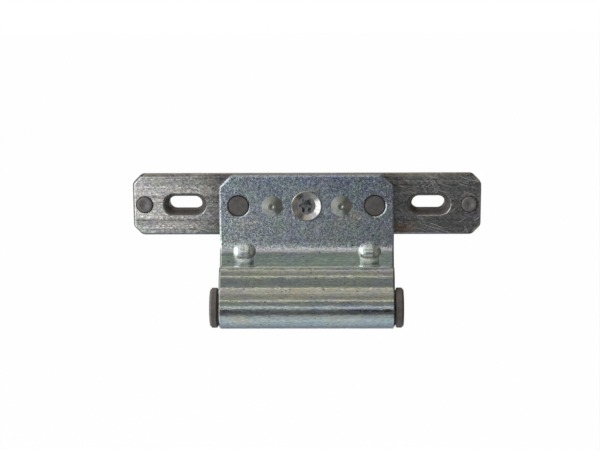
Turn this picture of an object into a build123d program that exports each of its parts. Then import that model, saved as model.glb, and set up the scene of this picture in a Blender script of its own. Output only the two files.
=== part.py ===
from build123d import *
import os
from math import acos, atan2, cos, degrees, radians, sin, sqrt, tan

# Transom hinge, barrel half: a steel leaf with a rolled eye, riveted to a slotted steel bar.
# A plastic packer sits behind the bar and two flanged plastic bushes line the eye.
# Millimetres. The origin is the middle of the pivot axis, +X runs along the bar,
# the front faces -Y and +Z is up. The part mirrors left to right.

# Steel sheet of the leaf
SHEET = 3.0
LEAF_WIDTH = 62.0
LEAF_CORNER = 4.3
LEAF_CORNER_ROUND = 2.5
SHEET_EDGE = 0.6

# Crank of the leaf: the upper plate's front behind the pivot axis, then a slope down to the eye
# The slope's front is measured square to the slope, and minus is in front of the pivot axis
PLATE_FRONT = 8.0
CRANK_ANGLE = 25.0
CRANK_RADIUS = 10.0
SLOPE_FRONT = -0.82

# Rolled eye, and the sheet's end that laps over the slope and is bent down until its tip meets it
EYE_RADIUS = 4.5
SLOPE_ROLL_RADIUS = 1.5
LAP_ROLL_RADIUS = 5.0
LAP_STAND_OFF = 1.9
LAP_STRAIGHT = 2.8
LAP_BEND_RADIUS = 3.5
LAP_TIP_GAP = 0.1
LAP_CORNER = 1.2

# Gussets pressed into the crank from behind: a round-ended bump with a low rib below it
GUSSET_INSET = 8.7
GUSSET_RADIUS = 3.5
GUSSET_SPAN = 1.8
GUSSET_RISE = 2.4
GUSSET_DROP = 0.5
GUSSET_ROOT = 1.2
GUSSET_WALL = 2.9
GROOVE_RADIUS = 2.2
GROOVE_LENGTH = 6.0
RIB_WIDTH = 6.8
RIB_RISE = 0.6
RIB_GAP = 0.2

# Drawn flat bar
BAR_LENGTH = 124.0
BAR_HEIGHT = 22.0
BAR_THICKNESS = 4.0
BAR_CORNER = 3.2
BAR_CORNER_ROUND = 2.5
BAR_EDGE = 0.9
BAR_HOLE_EDGE = 0.35
BAR_RISE = 35.0

# Fixing slots: wide slots in the bar, lined by collars of the packer with a tapered mouth
SLOT_INSET = 18.5
SLOT_LENGTH = 12.0
SLOT_WIDTH = 5.2
SINK_LENGTH = 14.8
SINK_WIDTH = 7.2
SINK_DEPTH = 3.0
COLLAR_LIP = 0.2
COLLAR_RECESS = 0.3

# Plastic packer behind the bar, with slot collars, staked end pegs and two long studs
PACKER_THICKNESS = 4.6
PACKER_HEIGHT = 19.0
PACKER_INSET = 0.8
PACKER_CORNER = 2.5
PACKER_EDGE = 0.4
PEG_INSET = 4.2
PEG_DIAMETER = 5.5
PEG_PROUD = 0.4
PEG_DISH_DIAMETER = 3.4
PEG_DISH_DEPTH = 0.6
STUD_INSET = 6.8
STUD_DIAMETER = 7.1
STUD_HOLE_DIAMETER = 7.6
STUD_HOLE_EDGE = 0.4
STUD_RECESS = 0.25
STUD_EDGE = 0.25

# Rivets that hold the leaf to the bar
RIVET_SPACING = 24.5
RIVET_HEAD_DIAMETER = 7.4
RIVET_HEAD_HEIGHT = 1.2
RIVET_RIM = 0.3
RIVET_CROWN_DIAMETER = 2.6
RIVET_SHANK_DIAMETER = 4.8
RIVET_TAIL_DIAMETER = 7.0
RIVET_TAIL_DEPTH = 1.2
PIT_DIAMETER = 1.4
PIT_DEPTH = 0.5

# Setting screw with a dished head and a six-lobe socket
SCREW_HEAD_DIAMETER = 11.0
SCREW_PROUD = 0.4
SCREW_RIM = 0.5
SCREW_DISH_DIAMETER = 6.4
SCREW_DISH_DEPTH = 1.2
SCREW_SHANK_DIAMETER = 6.0
SOCKET_DIAMETER = 5.6
SOCKET_WAIST = 3.95
SOCKET_LOBE_RADIUS = 0.45
SOCKET_DEPTH = 1.8
LOBES = 6

# Flanged bushes for the pivot pin
PIN_BORE_DIAMETER = 6.0
BUSH_LENGTH = 20.0
FLANGE_DIAMETER = 14.2
FLANGE_THICKNESS = 3.1
FLANGE_EDGE = 0.7
FLANGE_INNER_EDGE = 0.3
SHOULDER_DIAMETER = 12.4
SHOULDER_WIDTH = 0.45
BUSH_LEAD = 0.5

# Clearances: FIT between pieces that stay together, RUNNING round the screw
FIT = 0.02
RUNNING = 0.06
SEAT_GAP = 0.05

# Faces and heights that several pieces share
LEAF_TOP = BAR_RISE + BAR_HEIGHT / 2
BAR_FRONT = PLATE_FRONT + SHEET
BAR_BACK = BAR_FRONT + BAR_THICKNESS
PACKER_BACK = BAR_BACK + PACKER_THICKNESS
PEG_SPACING = BAR_LENGTH - 2 * PEG_INSET
SLOT_SPACING = BAR_LENGTH - 2 * SLOT_INSET
STUD_SPACING = LEAF_WIDTH - 2 * STUD_INSET
GUSSET_SPACING = LEAF_WIDTH - 2 * GUSSET_INSET
LAP_FRONT = SHEET + LAP_STAND_OFF - SLOPE_FRONT
CRANK = radians(CRANK_ANGLE)


def facing_front(y):
    """Plane across the part at a distance behind the pivot axis, level with the bar's middle."""
    return Plane(origin=(0, y, BAR_RISE), x_dir=(1, 0, 0), z_dir=(0, -1, 0))


def pair(spacing):
    """The left and right places along the bar."""
    return [-spacing / 2, spacing / 2]


def hole(x, diameter, front, back):
    """Round cutter through the part from its front face to its back face."""
    return facing_front(back) * Pos(x, 0) * Cylinder(
        diameter / 2, back - front, align=(Align.CENTER, Align.CENTER, Align.MIN)
    )


def countersink(x, diameter, edge, face):
    """Cutter that breaks the front edge of a round hole."""
    return turned(x, [(0, face), (diameter / 2 + edge, face), (diameter / 2, face + edge), (0, face + edge)])


def turned(x, outline):
    """Solid turned about a front-to-back axis at x from points of (radius, distance behind the pivot)."""
    section = make_face(Polyline(*outline, close=True))
    axis_plane = Plane(origin=(x, 0, BAR_RISE), x_dir=(1, 0, 0), z_dir=(0, 0, 1))
    return revolve(axis_plane * section, Axis((x, 0, BAR_RISE), (0, 1, 0)))


def leaning(y, z):
    """Point of the leaf's section given square to the slope and along it."""
    return Vector(y * cos(CRANK) + z * sin(CRANK), z * cos(CRANK) - y * sin(CRANK))


def roll_centre(reach, radius):
    """Centre of the hollow from the slope's face, at a reach from the pivot, into the eye's outside.

    The third value is the angle, in degrees, that the hollow turns through.
    """
    across = reach + radius
    up = sqrt((EYE_RADIUS + SHEET + radius) ** 2 - across**2)
    return across, up, degrees(atan2(up, across))


def crank_corner():
    """Height where the plate's front meets the slope's front."""
    return (PLATE_FRONT * cos(CRANK) - SLOPE_FRONT) / sin(CRANK)


def lap_turn():
    """Angle that the lap's end turns through until its tip meets the slope."""
    return acos(1 - (LAP_STAND_OFF - LAP_TIP_GAP) / LAP_BEND_RADIUS)


def lap_place(depth, along):
    """Point of the lap at a depth above its inner face, along it from where its roll ends."""
    roll_end = roll_centre(LAP_FRONT, LAP_ROLL_RADIUS)[1]
    return leaning(SLOPE_FRONT - LAP_STAND_OFF - depth, roll_end + along)


def lap_tip():
    """Outer corner of the lap's tip."""
    radius = LAP_BEND_RADIUS + SHEET
    return lap_place(SHEET - radius * (1 - cos(lap_turn())), LAP_STRAIGHT + radius * sin(lap_turn()))


def sheet_line(depth):
    """Line of the folded sheet at a depth below its front face, from the leaf's top to the lap's tip."""
    plate_y = PLATE_FRONT + depth
    roll_y, roll_z, roll_turn = roll_centre(SLOPE_FRONT + SHEET, SLOPE_ROLL_RADIUS)
    over_y, over_z, over_turn = roll_centre(LAP_FRONT, LAP_ROLL_RADIUS)
    crank = FilletPolyline(
        (plate_y, LEAF_TOP),
        (plate_y, crank_corner() - depth * tan(CRANK / 2)),
        leaning(SLOPE_FRONT + depth, roll_z),
        radius=CRANK_RADIUS + depth,
    )
    roll = CenterArc(leaning(roll_y, roll_z), SLOPE_ROLL_RADIUS + SHEET - depth, 180 - CRANK_ANGLE, roll_turn)
    eye = CenterArc((0, 0), EYE_RADIUS + depth, roll_turn - CRANK_ANGLE, -(roll_turn + 180 + over_turn))
    over = CenterArc(
        leaning(-over_y, over_z), LAP_ROLL_RADIUS + SHEET - depth, -over_turn - CRANK_ANGLE, over_turn
    )
    lap = Line(lap_place(depth, 0), lap_place(depth, LAP_STRAIGHT))
    bend = CenterArc(
        lap_place(-LAP_BEND_RADIUS, LAP_STRAIGHT),
        LAP_BEND_RADIUS + depth,
        180 - CRANK_ANGLE,
        -degrees(lap_turn()),
    )
    return [crank, roll, eye, over, lap, bend]


def rim(faces):
    """Edges where the cut faces of the sheet meet its two skins."""
    edges = [edge for face in faces for edge in face.edges()]
    return [edge for edge in edges if sum(edge.is_same(other) for other in edges) == 1]


def sheet_blank():
    """The cranked and rolled sheet with its corners cut and its edges broken."""
    front = sheet_line(0)
    back = sheet_line(SHEET)
    top = Line(front[0] @ 0, back[0] @ 0)
    tip = Line(front[-1] @ 1, back[-1] @ 1)
    section = Plane.YZ * make_face([*front, *back, top, tip])
    blank = extrude(section, LEAF_WIDTH / 2, both=True)
    blank = chamfer(blank.edges().filter_by(Axis.Y).group_by(Axis.Z)[-1], LEAF_CORNER)
    cut_corners = blank.edges().filter_by(Axis.Y).filter_by(lambda edge: edge.center().Z > BAR_RISE)
    blank = fillet(cut_corners, LEAF_CORNER_ROUND)
    lap_angle = CRANK + lap_turn()
    lap_face = Axis((0, 0, 0), (0, sin(lap_angle), cos(lap_angle)))
    lap_end = blank.faces().filter_by(lap_face)
    blank = fillet(lap_end.edges().filter_by(Axis.X, reverse=True), LAP_CORNER)
    narrow = blank.faces().filter_by(lambda face: face.bounding_box().size.X < LEAF_WIDTH / 2)
    top = blank.faces().sort_by(Axis.Z)[-1]
    return chamfer(rim([*narrow, top, *blank.faces().filter_by(lap_face)]), SHEET_EDGE)


def gusset_plane(x):
    """Plane on the crank's inner corner at x, facing out of the corner."""
    lean = CRANK / 2
    return Plane(origin=(x, PLATE_FRONT, crank_corner()), x_dir=(1, 0, 0), z_dir=(0, -cos(lean), sin(lean)))


def gusset_bump(x):
    """Round-ended bump in the crank's corner, rooted inside the sheet."""
    end = GUSSET_SPAN / 2
    tip = end + GUSSET_RADIUS
    slant = GUSSET_RADIUS * sqrt(0.5)
    outline = [
        ThreePointArc((-tip, 0), (-end - slant, slant), (-end, GUSSET_RADIUS)),
        Line((-end, GUSSET_RADIUS), (end, GUSSET_RADIUS)),
        ThreePointArc((end, GUSSET_RADIUS), (end + slant, slant), (tip, 0)),
        Line((tip, 0), (-tip, 0)),
    ]
    bump = Pos(0, -GUSSET_DROP, GUSSET_RISE - GUSSET_RADIUS) * revolve(make_face(outline), Axis.X)
    width = 2 * tip
    front_side = Pos(0, 0, -GUSSET_ROOT) * Box(
        width, width, width, align=(Align.CENTER, Align.CENTER, Align.MIN)
    )
    return gusset_plane(x) * (bump & front_side)


def gusset_rib(x):
    """Low rib down the crank's face, from the corner to just above the lap's end."""
    lap_end = lap_tip()
    run = (PLATE_FRONT - lap_end.X) * sin(CRANK) + (crank_corner() - lap_end.Y) * cos(CRANK)
    corner = (x, PLATE_FRONT, crank_corner())
    down = Plane(origin=corner, x_dir=(1, 0, 0), z_dir=(0, -sin(CRANK), -cos(CRANK)))
    half = RIB_WIDTH / 2
    section = make_face(
        [
            ThreePointArc((-half, 0), (0, RIB_RISE), (half, 0)),
            Polyline((half, 0), (half, -GUSSET_ROOT), (-half, -GUSSET_ROOT), (-half, 0)),
        ]
    )
    return extrude(down * section, run - RIB_GAP)


def gusset_groove(x):
    """Groove that the gusset punch leaves in the back of the sheet."""
    depth = GUSSET_WALL + GROOVE_RADIUS - GUSSET_RISE
    groove = Rot(0, 90, 0) * Cylinder(GROOVE_RADIUS, GROOVE_LENGTH)
    return gusset_plane(x) * Pos(0, -GUSSET_DROP, -depth) * groove


def hinge_leaf():
    """One sheet: upper plate, crank with two gussets, slope, rolled eye and lapped end."""
    leaf = sheet_blank()
    for x in pair(GUSSET_SPACING):
        leaf += gusset_bump(x)
        leaf += gusset_rib(x)
        leaf -= gusset_groove(x)
    for x in pair(STUD_SPACING):
        leaf -= hole(x, STUD_HOLE_DIAMETER, PLATE_FRONT, BAR_FRONT)
        leaf -= countersink(x, STUD_HOLE_DIAMETER, STUD_HOLE_EDGE, PLATE_FRONT)
    for x in pair(RIVET_SPACING):
        leaf -= hole(x, RIVET_SHANK_DIAMETER + 2 * FIT, PLATE_FRONT, BAR_FRONT)
    return leaf - hole(0, SCREW_HEAD_DIAMETER + 2 * RUNNING, PLATE_FRONT, BAR_FRONT)


def fixing_slot(x):
    """Cutter for one fixing slot, straight through the packer and its collar."""
    return extrude(facing_front(PACKER_BACK) * Pos(x, 0) * SlotOverall(SLOT_LENGTH, SLOT_WIDTH), PACKER_BACK)


def collar_outline(x, y, growth):
    """Outline of one slot collar at a distance behind the pivot axis, grown all round."""
    margin = 2 * (COLLAR_LIP + growth)
    return facing_front(y) * Pos(x, 0) * SlotOverall(SINK_LENGTH + margin, SINK_WIDTH + margin)


def slot_mouth(x):
    """Cutter for the tapered mouth of one collar."""
    front = BAR_FRONT + COLLAR_RECESS
    mouth = facing_front(front) * Pos(x, 0) * SlotOverall(SINK_LENGTH, SINK_WIDTH)
    throat = facing_front(front + SINK_DEPTH) * Pos(x, 0) * SlotOverall(SLOT_LENGTH, SLOT_WIDTH)
    return loft([throat, mouth])


def bar_slot(x):
    """Cutter for the bar's slot round a collar, with its front edge broken."""
    through = extrude(collar_outline(x, BAR_BACK, FIT), BAR_THICKNESS)
    throat = collar_outline(x, BAR_FRONT + BAR_HOLE_EDGE, FIT)
    return through + loft([throat, collar_outline(x, BAR_FRONT, FIT + BAR_HOLE_EDGE)])


def rivet_tail(clearance):
    """Outline of a rivet's shank and its tail, set flush in the back of the bar."""
    shank = RIVET_SHANK_DIAMETER / 2 + clearance
    tail = RIVET_TAIL_DIAMETER / 2 + clearance
    return [(shank, PLATE_FRONT), (shank, BAR_BACK - RIVET_TAIL_DEPTH), (tail, BAR_BACK), (0, BAR_BACK)]


def mounting_bar():
    """Flat bar with cut corners, broken edges, slots for the collars and holes for what it carries."""
    outline = Rectangle(BAR_LENGTH, BAR_HEIGHT)
    outline = chamfer(outline.vertices(), BAR_CORNER)
    outline = fillet(outline.vertices(), BAR_CORNER_ROUND)
    bar = extrude(facing_front(BAR_BACK) * outline, BAR_THICKNESS)
    bar = chamfer(bar.edges().filter_by(Axis.Y, reverse=True), BAR_EDGE)
    for x in pair(SLOT_SPACING):
        bar -= bar_slot(x)
    for x in pair(PEG_SPACING):
        bar -= hole(x, PEG_DIAMETER + 2 * FIT, BAR_FRONT, BAR_BACK)
        bar -= countersink(x, PEG_DIAMETER + 2 * FIT, BAR_HOLE_EDGE, BAR_FRONT)
    for x in pair(STUD_SPACING):
        bar -= hole(x, STUD_DIAMETER + 2 * FIT, BAR_FRONT, BAR_BACK)
    for x in pair(RIVET_SPACING):
        bar -= turned(x, [(0, PLATE_FRONT), *rivet_tail(FIT)])
    return bar - hole(0, SCREW_SHANK_DIAMETER + 2 * RUNNING, BAR_FRONT, BAR_BACK)


def end_peg(x):
    """Staked peg through the bar's end, with a sloped rim and a dished middle."""
    radius = PEG_DIAMETER / 2
    tip = BAR_FRONT - PEG_PROUD
    outline = [
        (0, BAR_BACK),
        (radius, BAR_BACK),
        (radius, BAR_FRONT),
        (radius - PEG_PROUD, tip),
        (PEG_DISH_DIAMETER / 2, tip),
        (0, tip + PEG_DISH_DEPTH),
    ]
    return turned(x, outline)


def stud(x):
    """Flat stud through the bar, ending just below the leaf's front face."""
    radius = STUD_DIAMETER / 2
    tip = PLATE_FRONT + STUD_RECESS
    outline = [
        (0, BAR_BACK),
        (radius, BAR_BACK),
        (radius, tip + STUD_EDGE),
        (radius - STUD_EDGE, tip),
        (0, tip),
    ]
    return turned(x, outline)


def packer():
    """Moulded packer: a plate with slot collars, end pegs and studs on its front."""
    outline = RectangleRounded(BAR_LENGTH - 2 * PACKER_INSET, PACKER_HEIGHT, PACKER_CORNER)
    plate = extrude(facing_front(PACKER_BACK) * outline, PACKER_THICKNESS)
    plate = chamfer(plate.faces().sort_by(Axis.Y)[-1].edges(), PACKER_EDGE)
    for x in pair(SLOT_SPACING):
        plate += extrude(collar_outline(x, BAR_BACK, 0), BAR_THICKNESS - COLLAR_RECESS)
        plate -= slot_mouth(x)
        plate -= fixing_slot(x)
    for x in pair(PEG_SPACING):
        plate += end_peg(x)
    for x in pair(STUD_SPACING):
        plate += stud(x)
    return plate


def rivet(x):
    """Rivet with a low coned head, a centre pit and a flush tail."""
    head = RIVET_HEAD_DIAMETER / 2
    crown = RIVET_CROWN_DIAMETER / 2
    pit = PIT_DIAMETER / 2
    tip = PLATE_FRONT - RIVET_HEAD_HEIGHT
    outline = [
        (0, tip + PIT_DEPTH),
        (pit, tip),
        (crown, tip),
        (head, PLATE_FRONT - RIVET_RIM),
        (head, PLATE_FRONT),
        *rivet_tail(0),
    ]
    return turned(x, outline)


def polar(radius, angle):
    """Point at a radius and an angle in degrees."""
    return Vector(radius * cos(radians(angle)), radius * sin(radians(angle)))


def six_lobe():
    """Six-lobe socket outline: round lobes joined by tangent hollows."""
    lobe_reach = SOCKET_DIAMETER / 2 - SOCKET_LOBE_RADIUS
    waist = SOCKET_WAIST / 2
    half_pitch = 180 / LOBES
    along = lobe_reach * cos(radians(half_pitch))
    spare = lobe_reach**2 + waist**2 - 2 * along * waist - SOCKET_LOBE_RADIUS**2
    hollow_radius = spare / (2 * (SOCKET_LOBE_RADIUS - waist + along))
    share = SOCKET_LOBE_RADIUS / (SOCKET_LOBE_RADIUS + hollow_radius)
    arcs = []
    for lobe in range(LOBES):
        angle = lobe * 2 * half_pitch
        centre = polar(lobe_reach, angle)
        start = centre + (polar(waist + hollow_radius, angle - half_pitch) - centre) * share
        end = centre + (polar(waist + hollow_radius, angle + half_pitch) - centre) * share
        turn = Rot(0, 0, 2 * half_pitch)
        arcs.append(ThreePointArc(start, polar(SOCKET_DIAMETER / 2, angle), end))
        arcs.append(ThreePointArc(end, polar(waist, angle + half_pitch), (turn * Pos(*start)).position))
    return make_face(arcs)


def setting_screw():
    """Screw with a dished, slightly proud head in the leaf and a shank in the bar."""
    head = SCREW_HEAD_DIAMETER / 2
    dish = SCREW_DISH_DIAMETER / 2
    shank = SCREW_SHANK_DIAMETER / 2
    tip = PLATE_FRONT - SCREW_PROUD
    dish_floor = tip + SCREW_DISH_DEPTH
    seat = BAR_FRONT - SEAT_GAP
    outline = [
        (0, dish_floor),
        (dish, dish_floor),
        (head - SCREW_RIM, tip),
        (head - SCREW_RIM / 2, tip),
        (head, tip + SCREW_RIM / 2),
        (head, seat),
        (shank, seat),
        (shank, BAR_BACK),
        (0, BAR_BACK),
    ]
    socket = extrude(facing_front(dish_floor + SOCKET_DEPTH) * six_lobe(), SOCKET_DEPTH)
    return turned(0, outline) - socket


def bush(side):
    """Flanged bush in one end of the eye, bored for the pivot pin; side is -1 for left, 1 for right."""
    bore = PIN_BORE_DIAMETER / 2
    sleeve = EYE_RADIUS - FIT
    flange = FLANGE_DIAMETER / 2
    shoulder = SHOULDER_DIAMETER / 2
    seat = LEAF_WIDTH / 2
    flange_back = seat + SHOULDER_WIDTH
    face = seat + FLANGE_THICKNESS
    inner = seat - BUSH_LENGTH
    section = make_face(
        Polyline(
            (inner, bore),
            (inner, sleeve - BUSH_LEAD),
            (inner + BUSH_LEAD, sleeve),
            (seat, sleeve),
            (seat, shoulder),
            (flange_back, shoulder),
            (flange_back, flange - FLANGE_INNER_EDGE),
            (flange_back + FLANGE_INNER_EDGE, flange),
            (face - FLANGE_EDGE, flange),
            (face, flange - FLANGE_EDGE),
            (face, bore + BUSH_LEAD),
            (face - BUSH_LEAD, bore),
            close=True,
        )
    )
    right = revolve(section, Axis.X)
    return right if side > 0 else mirror(right, Plane.YZ)


NODES = {
    "hinge_leaf": hinge_leaf(),
    "mounting_bar": mounting_bar(),
    "packer": packer(),
    "rivet_left": rivet(-RIVET_SPACING / 2),
    "rivet_right": rivet(RIVET_SPACING / 2),
    "setting_screw": setting_screw(),
    "bush_left": bush(-1),
    "bush_right": bush(1),
}

os.makedirs("parts", exist_ok=True)
for name, shape in NODES.items():
    export_step(shape, f"parts/{name}.step")
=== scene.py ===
"""Looks of a transom hinge half: zinc-plated leaf and bar, plastic packer and bushes, on a white stage."""

from math import cos, pi, radians, sin

import bmesh
import bpy
from mathutils import Matrix, Vector


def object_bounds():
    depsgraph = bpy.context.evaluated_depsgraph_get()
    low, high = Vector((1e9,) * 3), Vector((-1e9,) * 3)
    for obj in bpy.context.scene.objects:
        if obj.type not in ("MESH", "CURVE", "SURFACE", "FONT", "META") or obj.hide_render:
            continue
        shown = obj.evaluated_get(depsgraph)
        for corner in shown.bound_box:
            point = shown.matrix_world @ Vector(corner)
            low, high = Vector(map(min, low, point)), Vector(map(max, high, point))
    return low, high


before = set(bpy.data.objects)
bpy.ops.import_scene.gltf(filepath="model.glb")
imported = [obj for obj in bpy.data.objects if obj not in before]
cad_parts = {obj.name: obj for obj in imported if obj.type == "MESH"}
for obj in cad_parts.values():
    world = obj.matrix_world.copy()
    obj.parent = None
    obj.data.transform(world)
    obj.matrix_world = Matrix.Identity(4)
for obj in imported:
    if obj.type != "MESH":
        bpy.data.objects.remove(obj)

bl_info = {
    "name": "Transom Hinge Looks",
    "version": (1, 0, 0),
    "blender": (4, 5, 0),
    "location": "View3D > Sidebar > Hinge",
    "description": "Finishes for a transom hinge half and the studio round it",
    "category": "Object",
}

CAD_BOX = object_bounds()
MM = 0.001
IMAGE_WIDTH_PX = 600
SENSOR_WIDTH_MM = 36.0
CLIP_START = 0.01

# Places on the part that the finishes follow
LEAF_HALF_WIDTH = 31.0 * MM
BAR_HALF_LENGTH = 62.0 * MM
BAR_MIDDLE = 35.0 * MM
# Distances where a finish starts and where it is full
PLATE_HEAD = (30.0 * MM, 44.0 * MM)
BUMP_REACH = (4.6 * MM, 3.4 * MM)
BUMP_UNDERSIDE = (17.8 * MM, 16.5 * MM)
LEFT_HALF = (10.0 * MM, -10.0 * MM)
BAR_FRONT = (12.2 * MM, 11.8 * MM)
BESIDE_LEAF = (38.5 * MM, 31.5 * MM)
LONG_EDGES = (10.1 * MM, 10.3 * MM)
PEGS = (52.0 * MM, 53.0 * MM)
# Depths of the painted edge shade from the end of a piece, and how softly finishes fade
LEAF_EDGE = 0.5 * MM
EYE_LEFT_EDGE = 0.62 * MM
BAR_LEFT_EDGE = 0.75 * MM
CORNER_EDGE = 1.0 * MM
CORNER_FADE = 0.4 * MM
EDGE_FADE = 0.2 * MM
PLATE_FADE = 2.0 * MM
SOCKET_FADE = 0.1 * MM
SLOT_FADE = 1.5 * MM
# Films and painted highlights along the fold: the limits of each, by axis, where it starts and where it is
# full
FILMS_AND_HIGHLIGHTS_ON_FOLD = {
    "painted_foot_highlight": [("Z", 0.0226, 0.0206), ("Z", 0.0191, 0.0202)],
    "crank_film": [("Z", 0.0204, 0.0196), ("Z", 0.0174, 0.018)],
    "slope_film": [("Y", 0.0046, 0.005), ("Z", 0.018, 0.0174)],
    "painted_lap_highlight": [("Y", 0.0048, 0.0044), ("Z", 0.01345, 0.0139)],
    "painted_crown_highlight": [("Y", -0.0028, -0.0032), ("Y", -0.0042, -0.0032), ("Z", 0.005, 0.006)],
}
# Cycles of noise for each metre along X, Y and Z
ROLLING_LINES = (25.0, 2100.0, 2100.0)
EYE_WAVES = (230.0, 420.0, 420.0)
FINE_STREAKS = (30.0, 2600.0, 2600.0)
BROAD_STREAKS = (9.0, 620.0, 620.0)
DRAWING_LINES = (11.0, 1700.0, 1700.0)
# Steps aside in a noise, so that two of them differ
FILM_SHIFT = (3.1, 7.7, 1.9)
LINES_SHIFT = (5.0, 3.0, 1.0)
# Crystals drawn out along X
EYE_STRETCH = (0.4, 1.0, 1.0)
BAR_STRETCH = (0.7, 1.0, 1.0)
# Directions in degrees and steps aside of the scratches, and the size of their noise
SCRATCH_TURNS = ((18.0, 0.0), (-38.0, 4.0), (60.0, 9.0))
SCRATCH_SIZE = (7.0 * MM, 7.0 * MM, 0.3 * MM)
# Brown stain on the bar: one over its half sizes, and its middle
STAIN_SCALE = (125.0, 150.0, 430.0)
STAIN_MIDDLE = (0.0335, 0.011, 0.0262)
# Mean of a random value, which crystals vary about
MEAN = 0.5
# Strengths of the wear and the grain
PIT_DEPTH = 0.65
LOT_GLOSS = 0.1
BAR_TINT_SHARE = 0.6
BAR_LEAN = 0.05
SCRATCH_ROUGHNESS = 0.6
DUST_STRENGTH = 0.25
# Colours and tints
DEEP_DARK = (0.1, 0.1, 0.1)
DUST_COLOUR = (0.35, 0.34, 0.33)
SLOT_SHADE = (0.72, 0.68, 0.66)
PEG_LIGHT = (1.32, 1.34, 1.36)
FLOOR_COLOUR = (0.86, 0.86, 0.86)
WORLD_GREY = (0.55, 0.55, 0.55)
WHITE = (1.0, 1.0, 1.0)
# Ramps of light or colour over a noise
MOTTLED_LIGHT = [(0.3, 0.75), (0.7, 1.2)]
FLOW_LIGHT = [(0.3, 0.82), (0.7, 1.18)]
SCUFF_LIGHT = [(0.33, 0.80), (0.67, 1.22)]
# Painted shade in the screw's socket, with light flecks.
SOCKET_SHADE = [(0.40, (0.05, 0.052, 0.054)), (0.60, (0.42, 0.43, 0.43))]
# Stage: floor, the tent's first and last angle up from the front, and what the lamp faces
FLOOR_SIZE = 6.0
FLOOR_ROUGHNESS = 0.9
FLOOR_WHITE_SHARE = 0.98
TENT_START = radians(-140.0)
TENT_END = radians(176.0)
TENT_STEPS = 64
RIM_TOLERANCE = 1e-5
LAMP_TARGET = Vector((0.0, 0.0, 0.02))
# Sockets of a Mix node that mixes colours: its factor and two colours, and its result
MIX_INPUTS = (0, 6, 7)
MIX_RESULT = 2

# Brightness of the light tent, by degrees up from the front: negative is under the part, 180 is behind it
TENT_BANDS = [
    (-145.0, (0.28, 0.31, 0.35)),
    (-108.0, (0.46, 0.51, 0.58)),
    (-90.0, (0.66, 0.73, 0.83)),
    (-57.0, (0.86, 0.95, 1.02)),
    (-36.0, (0.72, 0.72, 0.74)),
    (-24.0, (0.34, 0.34, 0.35)),
    (-15.0, (0.13, 0.135, 0.155)),
    (-9.0, (0.15, 0.155, 0.175)),
    (0.0, (0.30, 0.30, 0.31)),
    (8.0, (0.68, 0.69, 0.72)),
    (12.0, (0.98, 1.0, 1.03)),
    (16.0, (1.03, 1.05, 1.08)),
    (19.0, (0.87, 0.88, 0.90)),
    (22.0, (0.65, 0.66, 0.66)),
    (26.0, (0.45, 0.46, 0.45)),
    (36.0, (0.32, 0.34, 0.32)),
    (46.0, (0.46, 0.43, 0.36)),
    (52.0, (1.40, 1.30, 1.04)),
    (58.0, (0.53, 0.49, 0.42)),
    (72.0, (0.47, 0.42, 0.35)),
    (86.0, (0.60, 0.55, 0.48)),
    (98.0, (0.98, 0.91, 0.81)),
    (142.0, (0.90, 0.84, 0.76)),
    (158.0, (0.34, 0.32, 0.29)),
    (176.0, (0.34, 0.32, 0.29)),
]
# Brightness just below the camera, by the place to the right in tent radii
LOW_FRONT = [
    (-0.36, (2.2, 2.08, 1.95)),
    (-0.29, (1.35, 1.28, 1.20)),
    (-0.245, (0.36, 0.355, 0.35)),
    (-0.21, (0.03, 0.031, 0.032)),
    (-0.16, (0.06, 0.062, 0.064)),
    (-0.10, (0.25, 0.26, 0.27)),
    (-0.02, (0.31, 0.315, 0.32)),
    (0.03, (0.25, 0.255, 0.26)),
    (0.07, (0.10, 0.102, 0.105)),
    (0.12, (0.03, 0.028, 0.026)),
    (0.18, (0.03, 0.026, 0.023)),
    (0.3, (0.07, 0.06, 0.052)),
]
# Share of that brightness, by degrees up from the front
LOW_FRONT_REACH = [(-12.0, 0.0), (-8.0, 1.0), (2.0, 1.0), (8.0, 0.0)]
# Brightness at the far left and the far right, by the place to the right in tent radii
FAR_SIDES = [
    (-2.0, (2.2, 2.14, 2.02)),
    (-1.4, (2.2, 2.2, 2.2)),
    (-1.15, (1.4, 1.4, 1.4)),
    (-0.95, (0.55, 0.55, 0.54)),
    (-0.8, (0.46, 0.46, 0.45)),
    (-0.5, (1.1, 1.08, 1.05)),
    (0.2, (0.10, 0.092, 0.085)),
    (0.6, (0.15, 0.142, 0.13)),
    (0.87, (0.20, 0.19, 0.17)),
    (1.1, (0.46, 0.41, 0.33)),
    (1.6, (0.28, 0.25, 0.21)),
    (1.9, (0.18, 0.175, 0.17)),
]
# Share of that brightness, by the same place
FAR_SHARE = [(-0.6, 1.0), (-0.34, 0.0), (0.16, 0.0), (0.32, 1.0)]
# Width of the tent in its radii
SIDE_SPAN = 4.0


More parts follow.
